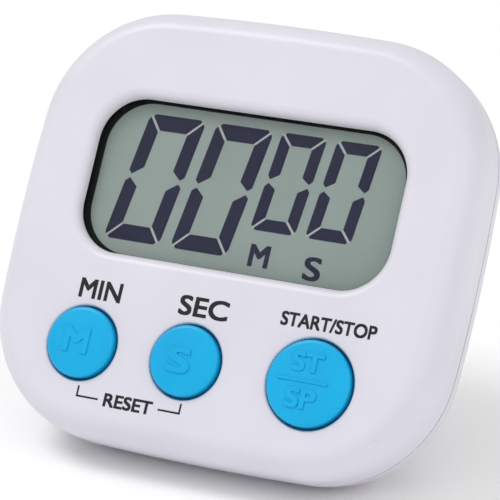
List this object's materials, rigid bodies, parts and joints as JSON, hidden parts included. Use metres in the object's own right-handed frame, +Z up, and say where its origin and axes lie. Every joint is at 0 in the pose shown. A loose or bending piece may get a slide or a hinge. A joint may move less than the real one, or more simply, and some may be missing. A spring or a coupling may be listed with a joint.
{
  "type": "kitchen timer",
  "caption": "Pocket digital kitchen timer with a rounded case, LCD window, round push buttons, a sliding battery door, a magnet and a fold-out easel stand on its back.",
  "frame": {"origin": "middle of the footprint, on the table that the timer stands on with its stand open", "axes": "+X to the viewer's right along the face, +Y backwards away from the viewer, +Z up; the face leans back 32 degrees from upright"},
  "size_m": [0.0636, 0.0416, 0.0541],
  "materials": {
    "shell": "satin moulded",
    "button": "satin moulded",
    "silicone": "matt",
    "carbon": "matt",
    "display": "polished, with film",
    "glass": "polished",
    "foam": "matt",
    "board": "lacquered",
    "epoxy": "potted",
    "resistor": "lacquered",
    "capacitor_can": "sleeved",
    "brass": "rolled",
    "ceramic": "fired, silvered",
    "red_wire": "extruded",
    "black_wire": "extruded",
    "ferrite": "ground",
    "cell": "sleeved",
    "steel": "nickel plated"
  },
  "bodies": {
    "case": {"battery": "cell", "board_screw_1": "steel", "board_screw_2": "steel", "board_screw_3": "steel", "board_screw_4": "steel", "capacitor": "capacitor_can", "case_screw_1": "steel", "case_screw_2": "steel", "case_screw_3": "steel", "case_screw_4": "steel", "chip_blob": "epoxy", "circuit_board": "board", "contact_plate_minus": "steel", "contact_plate_plus": "steel", "contact_spring": "steel", "crystal": "steel", "front_cover": "shell", "lcd_front_glass": "glass", "lcd_pad": "foam", "lcd_rear_glass": "display", "magnet": "ferrite", "minute_dome": "silicone", "rear_cover": "shell", "resistor_1": "resistor", "resistor_2": "resistor", "second_dome": "silicone", "sounder_ceramic": "ceramic", "sounder_lead_black": "black_wire", "sounder_lead_red": "red_wire", "sounder_plate": "brass", "stand_pin": "steel", "start_dome": "silicone", "transistor": "epoxy", "zebra_connector": "silicone"},
    "battery_door": {"battery_door": "shell"},
    "stand": {"stand": "shell"},
    "minute_button": {"minute_button": "button", "minute_contact_pill": "carbon"},
    "second_button": {"second_button": "button", "second_contact_pill": "carbon"},
    "start_button": {"start_button": "button", "start_contact_pill": "carbon"}
  },
  "joints": [
    {"name": "stand_hinge", "type": "hinge", "parent": "case", "child": "stand", "pos_m": [0, 0.00968, 0.02646], "axis": [1, 0, 0], "range_deg": [-48.53, 0]},
    {"name": "battery_door_slide", "type": "slide", "parent": "case", "child": "battery_door", "axis": [0, 0.5299, 0.848], "range_m": [0, 0.014]},
    {"name": "minute_press", "type": "slide", "parent": "case", "child": "minute_button", "axis": [0, 0.848, -0.5299], "range_m": [0, 0.0006], "stiffness_N_per_m": 1500, "deforming": ["minute_dome"]},
    {"name": "second_press", "type": "slide", "parent": "case", "child": "second_button", "axis": [0, 0.848, -0.5299], "range_m": [0, 0.0006], "stiffness_N_per_m": 1500, "deforming": ["second_dome"]},
    {"name": "start_press", "type": "slide", "parent": "case", "child": "start_button", "axis": [0, 0.848, -0.5299], "range_m": [0, 0.0006], "stiffness_N_per_m": 1500, "deforming": ["start_dome"]}
  ]
}
